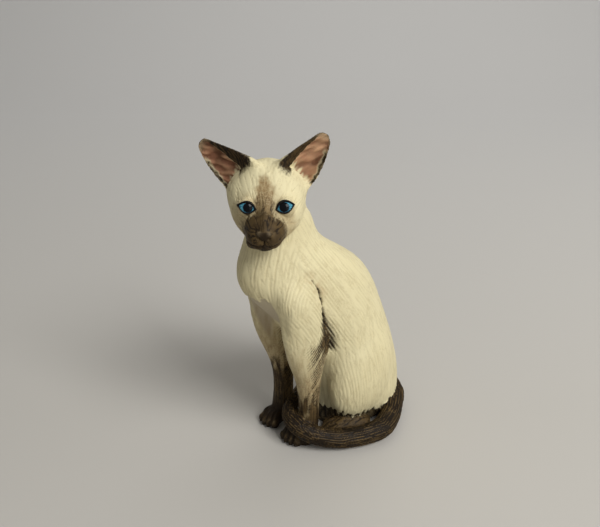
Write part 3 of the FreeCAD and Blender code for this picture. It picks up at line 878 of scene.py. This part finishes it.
def closed_patch(points, normals, triangles, depth):
    """A patch with a lip turned inward along its edges and a cap over each, so that it is a closed solid."""
    edges = boundary_edges(triangles)
    rim = np.unique(edges)
    inner = np.full(len(points), -1)
    inner[rim] = len(points) + np.arange(len(rim))
    ring_number = shell_numbers(len(points), np.column_stack([edges, edges[:, 1]]))[rim]
    rings = np.unique(ring_number)
    inner_points = points[rim] - normals[rim] * depth
    centres = np.array([inner_points[ring_number == ring].mean(axis=0) for ring in rings])
    centre_of = np.full(len(points), -1)
    centre_of[rim] = len(points) + len(rim) + np.searchsorted(rings, ring_number)
    first, second = edges[:, 0], edges[:, 1]
    lip = np.concatenate([
        np.column_stack([second, first, inner[first]]),
        np.column_stack([second, inner[first], inner[second]]),
        np.column_stack([inner[second], inner[first], centre_of[first]]),
    ])
    all_points = np.concatenate([points, inner_points, centres])
    all_normals = np.concatenate([normals, normals[rim], np.tile(UP, (len(centres), 1))])
    return all_points, all_normals, np.concatenate([triangles, lip])


def set_mask(mesh, name, values):
    """Stores one number for each point, for the paint's nodes to read."""
    mask = mesh.attributes.new(name, "FLOAT", "POINT")
    mask.data.foreach_set("value", np.asarray(values, dtype=np.float32))


def mesh_object(name, points, triangles, normals, masks):
    """An object in metres with smooth shading, the given normals and the given masks."""
    mesh = bpy.data.meshes.new(name + "_skin")
    mesh.from_pydata((points / MM).tolist(), [], triangles.tolist())
    mesh.shade_smooth()
    mesh.normals_split_custom_set_from_vertices(normals.tolist())
    for mask, values in masks.items():
        set_mask(mesh, mask, values)
    return new_object(name + "_skin", mesh)


LIP = 0.8             # how far each piece's edge turns inward
PAINTED = ("groove", "patch", "stain", "ochre", "flesh_shade", "inner", "tone", "point", "wear_and_highlight", "liner")


def part_pieces(skin, material):
    """Cuts the skin at the joins between castings and hands each piece to its casting."""
    normals = skin.normals()
    votes = skin.owner[skin.triangles]
    owner = np.where(votes[:, 1] == votes[:, 2], votes[:, 1], votes[:, 0])
    for number, name in enumerate(SKINS):
        triangles = skin.triangles[owner == number]
        used, local = np.unique(triangles, return_inverse=True)
        points, piece_normals, faces = closed_patch(
            skin.points[used], normals[used], local.reshape(-1, 3), LIP)
        unseen = np.zeros(len(points) - len(used))
        masks = {mask: np.concatenate([skin.masks[mask][used], unseen]) for mask in PAINTED}
        piece = mesh_object(name, points, faces, piece_normals, masks)
        piece.data.materials.append(material)
        hand_over(piece, name)


def hand_over(piece, node):
    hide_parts(node)
    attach(piece, "root")


# ---------------- paint


def linear(red, green, blue):
    """A colour given as it is seen, from 0 to 255, for a shader's socket."""
    channels = []
    for value in (red, green, blue):
        share = value / 255.0
        channels.append(share / 12.92 if share <= 0.04045 else ((share + 0.055) / 1.055) ** 2.4)
    return (*channels, 1.0)


def feed(tree, socket, value):
    """Links another node's output to a socket, or sets the socket to a plain value."""
    if isinstance(value, bpy.types.NodeSocket):
        tree.links.new(value, socket)
    else:
        socket.default_value = value


def add_node(tree, kind, output, values, **settings):
    """Adds a node with its settings made and its sockets fed, and returns its named output."""
    made = tree.nodes.new(kind)
    for key, value in settings.items():
        setattr(made, key, value)
    for socket, value in values.items():
        feed(tree, made.inputs[socket], value)
    return made.outputs[output]


class Painter:
    """Lays one coat of colour over another in a material's nodes."""

    def __init__(self, name):
        self.material = bpy.data.materials.new(name)
        self.material.use_nodes = True
        self.tree = self.material.node_tree
        self.place = add_node(self.tree, "ShaderNodeTexCoord", "Object", {})

    def shade(self, socket, value):
        feed(self.tree, self.tree.nodes["Principled BSDF"].inputs[socket], value)

    def mask(self, name):
        return add_node(self.tree, "ShaderNodeAttribute", "Fac", {}, attribute_name=name)

    def grain(self, size, detail=3.0):
        """Noise from 0 to 1 with lumps of the given size in millimetres."""
        values = {"Vector": self.place, "Scale": MM / size, "Detail": detail}
        return add_node(self.tree, "ShaderNodeTexNoise", "Fac", values)

    def maths(self, kind, first, second):
        return add_node(self.tree, "ShaderNodeMath", "Value", {0: first, 1: second}, operation=kind)

    def range(self, value, low, high, to_low=0.0, to_high=1.0):
        values = dict(enumerate((value, low, high, to_low, to_high)))
        return add_node(self.tree, "ShaderNodeMapRange", "Result", values, interpolation_type="SMOOTHSTEP")

    def coat(self, share, under, over):
        values = {"Factor": share, "A": under, "B": over}
        return add_node(self.tree, "ShaderNodeMix", "Result", values, data_type="RGBA")

    def bump(self, height, distance, strength):
        values = {"Strength": strength, "Distance": distance / MM, "Height": height}
        self.shade("Normal", add_node(self.tree, "ShaderNodeBump", "Normal", values))


def skin_material():
    """Cream glaze, darker in the fur's grooves by wash and painted shade, with the brown points brushed over
    it.
    """
    paint = Painter("painted_ceramic")
    broad, patchy, fine = paint.grain(14.0), paint.grain(3.0), paint.grain(0.5, 5.0)
    groove = paint.mask("groove")
    cream = paint.coat(broad, linear(212, 200, 158), linear(226, 216, 176))
    cream = paint.coat(paint.range(patchy, 0.5, 0.75, 0.0, 0.2), cream, linear(206, 190, 144))
    # The cream is painted darker in the grooves: partly a wash, partly painted shade.
    groove_wash_and_shade = paint.maths("MULTIPLY", groove, paint.range(patchy, 0.3, 0.7, 0.35, 0.6))
    cream = paint.coat(groove_wash_and_shade, cream, linear(150, 132, 94))
    colour = paint.coat(paint.mask("patch"), cream, linear(188, 176, 150))
    colour = paint.coat(paint.mask("stain"), colour, linear(176, 144, 106))
    hairy = paint.maths("ADD", paint.maths("MULTIPLY", groove, 0.2), paint.range(fine, 0.3, 0.7, 0.75, 1.0))
    colour = paint.coat(paint.maths("MULTIPLY", paint.mask("ochre"), hairy), colour, linear(146, 122, 84))
    flesh = paint.coat(paint.mask("flesh_shade"), linear(196, 154, 118), linear(98, 66, 46))
    flesh = paint.coat(paint.range(patchy, 0.4, 0.7, 0.0, 0.4), flesh, linear(168, 116, 90))
    colour = paint.coat(paint.mask("inner"), colour, flesh)
    # The brown is near black in the grooves and tan on the ridges: a wash with painted shade and painted
    # highlight.
    furrow = paint.range(groove, 0.0, 0.5)
    light_brown = paint.coat(furrow, linear(112, 91, 57), linear(30, 22, 13))
    dark_brown = paint.coat(groove, linear(40, 29, 15), linear(14, 10, 5))
    lighter = paint.maths("MULTIPLY", paint.mask("tone"), paint.range(patchy, 0.25, 0.7, 0.3, 1.0))
    brown = paint.coat(lighter, dark_brown, light_brown)
    speckle = paint.maths("MULTIPLY", paint.maths("SUBTRACT", fine, 0.5), 0.35)
    edge = paint.maths("ADD", paint.mask("point"), speckle)
    edge = paint.maths("SUBTRACT", edge, paint.maths("MULTIPLY", paint.maths("SUBTRACT", 0.35, groove), 0.2))
    colour = paint.coat(paint.range(edge, 0.12, 0.85), colour, brown)
    # Worn pale ear tips and painted highlights on the nose and toes.
    colour = paint.coat(paint.mask("wear_and_highlight"), colour, linear(156, 138, 108))
    colour = paint.coat(paint.mask("liner"), colour, linear(12, 9, 8))
    paint.shade("Base Color", colour)
    paint.shade("Roughness", paint.range(fine, 0.2, 0.8, 0.45, 0.65))
    paint.shade("Specular IOR Level", 0.14)
    paint.bump(fine, 0.05, 0.5)
    return paint.material


# ---------------- the eyes


# Where each pupil looks, as a turn to the head's left and a rise, and how far it and the iris reach.
PUPIL_GAZE = {"left_eye": (2.0, 27.0), "right_eye": (9.0, 23.0)}
PUPIL_RADIUS = 1.5
IRIS_RADIUS = 3.1


def eye_material():
    """Clear glaze over a black pupil, a blue iris with paler flecks and a dark rim."""
    paint = Painter("glazed_eye")
    place = paint.mask("from_pupil")
    flecks = paint.grain(0.45, 2.0)
    ragged = paint.maths("ADD", place, paint.range(flecks, 0.0, 1.0, -0.12, 0.12))
    blue = paint.coat(paint.range(flecks, 0.35, 0.7), linear(44, 104, 128), linear(98, 166, 184))
    near_pupil = paint.range(place, PUPIL_RADIUS, PUPIL_RADIUS + 0.4, 0.5, 0.0)
    blue = paint.coat(near_pupil, blue, linear(20, 60, 90))
    blue = paint.coat(paint.range(ragged, IRIS_RADIUS - 0.3, IRIS_RADIUS), blue, linear(10, 16, 22))
    pupil = paint.range(place, PUPIL_RADIUS + 0.05, PUPIL_RADIUS - 0.05)
    paint.shade("Base Color", paint.coat(pupil, blue, linear(8, 9, 12)))
    paint.shade("Roughness", 0.12)
    paint.shade("Specular IOR Level", 0.12)
    return paint.material


def eyeball(name, material):
    """A fine glazed ball with the size and place of its bead."""
    bead = bmesh.new()
    bmesh.ops.create_uvsphere(bead, u_segments=128, v_segments=96, radius=EYE_RADIUS / MM)
    points = np.array([vertex.co for vertex in bead.verts]) * MM
    bmesh.ops.translate(bead, verts=bead.verts, vec=Vector(EYE_CENTRES[name] / MM))
    mesh = bpy.data.meshes.new(name + "_ball")
    bead.to_mesh(mesh)
    bead.free()
    gaze = head_direction(*PUPIL_GAZE[name]) * EYE_RADIUS
    set_mask(mesh, "from_pupil", size_of(points - gaze))
    mesh.shade_smooth()
    mesh.materials.append(material)
    hand_over(new_object(name + "_ball", mesh), name)


# ---------------- floor, light and camera


# The sweep's reach to each side and in front, the radius of its curve, and its height, in metres.
SWEEP_REACH = 4.0
SWEEP_CURVE = 0.5
SWEEP_HEIGHT = 2.2
SWEEP_STEPS = 12      # edges along its curve

# Each lamp's turn, rise, distance, size and power.
LAMPS = {
    "key": (98.0, 46.0, 0.9, 0.4, 6.0),
    "fill": (100.0, 10.0, 1.2, 0.9, 2.8),
    "rear": (215.0, 60.0, 1.2, 0.9, 2.6),
}
WORLD_LIGHT = 0.24
WORLD_SEEN = 0.44


def backdrop_material():
    """A pale floor, painted a little lighter where it rises behind the figure, as painted light on the
    backdrop.
    """
    paint = Painter("backdrop")
    paint.shade("Base Color", paint.coat(paint.mask("behind"), linear(190, 186, 178), linear(212, 210, 206)))
    paint.shade("Roughness", 0.9)
    return paint.material


def toward(turn, rise):
    """The direction to a place at a turn round the figure, from its front to its left, and a rise."""
    turn, rise = math.radians(turn), math.radians(rise)
    return Vector((math.sin(turn) * math.cos(rise), -math.cos(turn) * math.cos(rise), math.sin(rise)))


def sweep(material):
    """A pale floor that curves up into a backdrop behind the figure, seen along the camera's direction."""
    profile = [(-SWEEP_REACH, 0.0), (0.0, 0.0), (SWEEP_CURVE, 0.0)]
    for index in range(1, SWEEP_STEPS + 1):
        angle = math.radians(index * 90 / SWEEP_STEPS)
        profile.append((SWEEP_CURVE * (1.0 + math.sin(angle)), SWEEP_CURVE * (1.0 - math.cos(angle))))
    profile.append((2.0 * SWEEP_CURVE, SWEEP_HEIGHT))
    away = -toward(CAMERA_TURN, 0.0)
    across = toward(CAMERA_TURN + 90.0, 0.0)
    points, faces = [], []
    for distance, height in profile:
        for side in (-SWEEP_REACH, SWEEP_REACH):
            points.append(away * distance + across * side + Vector((0.0, 0.0, height)))
    for index in range(len(profile) - 1):
        faces.append((2 * index, 2 * index + 1, 2 * index + 3, 2 * index + 2))
    mesh = bpy.data.meshes.new("sweep")
    mesh.from_pydata(points, [], faces)
    set_mask(mesh, "behind", [float(distance > 0.0) for distance, _ in profile for _ in range(2)])
    mesh.shade_smooth()
    mesh.materials.append(material)
    new_object("sweep", mesh)


def softbox(name, turn, rise, distance, size, power):
    """A square lamp at a turn round the figure and a rise, aimed at its middle."""
    lamp = bpy.data.lights.new(name, "AREA")
    lamp.size = size
    lamp.energy = power
    made = new_object(name, lamp)
    made.location = Vector(CAMERA_AIM) + toward(turn, rise) * distance
    made.rotation_euler = toward(turn, rise).to_track_quat("Z", "Y").to_euler()


def light_world():
    """Even light from all round, brighter where it is seen straight, in gloss or through glass."""
    world = bpy.data.worlds.new("studio")
    world.use_nodes = True
    tree = world.node_tree
    ray = tree.nodes.new("ShaderNodeLightPath").outputs
    seen = ray["Is Camera Ray"]
    for kind in ("Is Glossy Ray", "Is Transmission Ray"):
        seen = add_node(tree, "ShaderNodeMath", "Value", {0: seen, 1: ray[kind]}, operation="MAXIMUM")
    strengths = {"Value": seen, "To Min": WORLD_LIGHT, "To Max": WORLD_SEEN}
    background = tree.nodes["Background"].inputs
    feed(tree, background["Color"], (1.0, 1.0, 1.0, 1.0))
    feed(tree, background["Strength"], add_node(tree, "ShaderNodeMapRange", "Result", strengths))
    bpy.context.scene.world = world


def place_camera():
    back = toward(CAMERA_TURN, CAMERA_RISE)
    lens = bpy.data.cameras.new("camera")
    lens.lens = CAMERA_LENS
    lens.sensor_width = 36.0
    lens.clip_start = 0.01
    camera = new_object("camera", lens)
    camera.location = Vector(CAMERA_AIM) + back * CAMERA_DISTANCE
    camera.rotation_euler = back.to_track_quat("Z", "Y").to_euler()
    bpy.context.scene.camera = camera


def main():
    skin = Skin(*skin_arrays())
    carve(skin)
    part_pieces(skin, skin_material())
    glaze = eye_material()
    for name in EYES:
        eyeball(name, glaze)
    sweep(backdrop_material())
    for name, lamp in LAMPS.items():
        softbox(name, *lamp)
    light_world()
    place_camera()
    bpy.context.scene.view_settings.view_transform = "Standard"


main()
